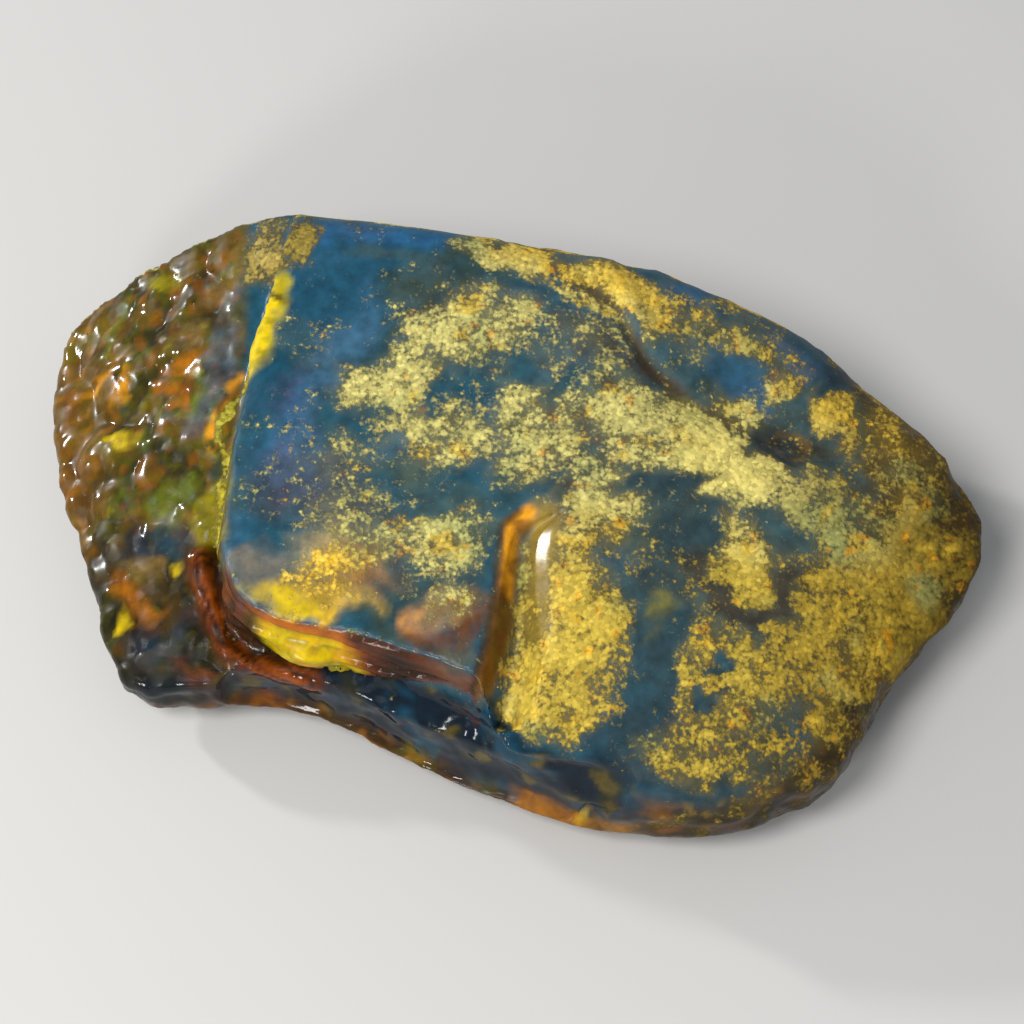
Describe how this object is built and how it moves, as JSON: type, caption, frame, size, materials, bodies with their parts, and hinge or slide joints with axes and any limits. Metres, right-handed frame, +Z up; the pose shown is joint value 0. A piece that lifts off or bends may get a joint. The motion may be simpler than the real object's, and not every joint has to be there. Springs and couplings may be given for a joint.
{
  "type": "raw amber piece",
  "caption": "Raw, unpolished amber lump, see-through blue-green to honey yellow with a speckled ochre crust, a broken shelf at one end and a flat base to rest on.",
  "frame": {"origin": "centre of the bounding box in plan, at the height of the flat base", "axes": "+X along the longest side towards the lobe end, +Z up through the thin direction, -Y towards the broken front with the groove"},
  "size_m": [0.0504, 0.034, 0.0116],
  "materials": {
    "amber": "see-through resin, glossy on the broken faces, with matt ochre crust in speckled patches and a blue-green sheen on top"
  },
  "bodies": {
    "root": {"raw_amber": "amber"}
  },
  "joints": []
}
